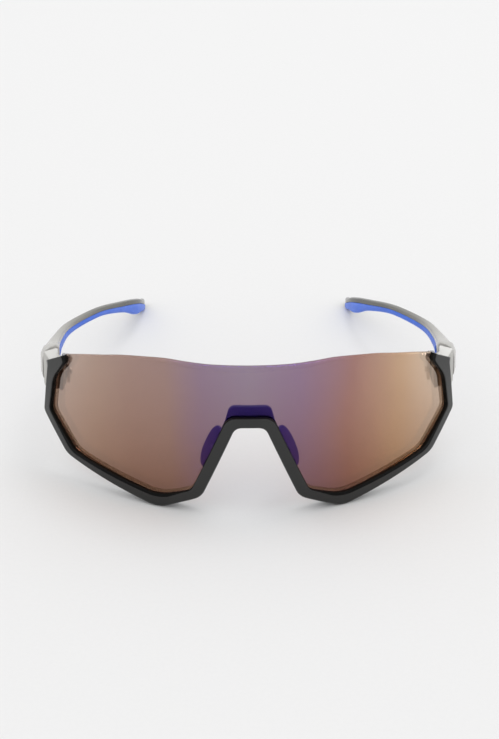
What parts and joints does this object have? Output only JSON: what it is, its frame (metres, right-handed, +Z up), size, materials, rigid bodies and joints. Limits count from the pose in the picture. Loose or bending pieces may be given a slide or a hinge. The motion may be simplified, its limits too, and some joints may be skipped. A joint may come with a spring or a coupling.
{
  "type": "wraparound sport sunglasses",
  "caption": "Wraparound shield sport sunglasses with a rimless-top mirrored lens, lower half rim, clip-on nose piece and folding temples with blue rubber grips.",
  "frame": {"origin": "on the surface the glasses stand on, in the middle of their length and width", "axes": "+Z up; -Y towards what the wearer looks at, so the lens is at -Y and the temple tips at +Y; +X on the wearer's left"},
  "size_m": [0.1456, 0.1522, 0.0539],
  "materials": {
    "gloss_black": "high-gloss black nylon with a darker recessed inner lip",
    "mirror_lens": "semi-mirrored polycarbonate, purple in the middle turning bronze at the ends",
    "blue_rubber": "satin royal-blue soft rubber",
    "nose_blue": "satin deep-blue soft rubber",
    "steel": "fine-turned stainless steel",
    "nylon": "natural nylon"
  },
  "bodies": {
    "front": {"front_frame": "gloss_black", "shield_lens": "mirror_lens", "nose_carrier": "nose_blue", "left_nose_pad": "nose_blue", "left_hinge_front_leaf": "steel", "left_front_leaf_screw": "steel", "left_hinge_screw": "steel", "left_upper_washer": "nylon", "left_lower_washer": "nylon", "right_nose_pad": "nose_blue", "right_hinge_front_leaf": "steel", "right_front_leaf_screw": "steel", "right_hinge_screw": "steel", "right_upper_washer": "nylon", "right_lower_washer": "nylon"},
    "left_temple_arm": {"left_temple": "gloss_black", "left_temple_grip": "blue_rubber", "left_hinge_temple_leaf": "steel", "left_temple_leaf_screw": "steel"},
    "right_temple_arm": {"right_temple": "gloss_black", "right_temple_grip": "blue_rubber", "right_hinge_temple_leaf": "steel", "right_temple_leaf_screw": "steel"}
  },
  "joints": [
    {"name": "left_temple_fold", "type": "hinge", "parent": "front", "child": "left_temple_arm", "pos_m": [0.0639, -0.03053, 0.0322], "axis": [0, 0.1564, 0.9877], "range_deg": [0, 84]},
    {"name": "right_temple_fold", "type": "hinge", "parent": "front", "child": "right_temple_arm", "pos_m": [-0.0639, -0.03053, 0.0322], "axis": [0, -0.1564, -0.9877], "range_deg": [0, 74]}
  ]
}
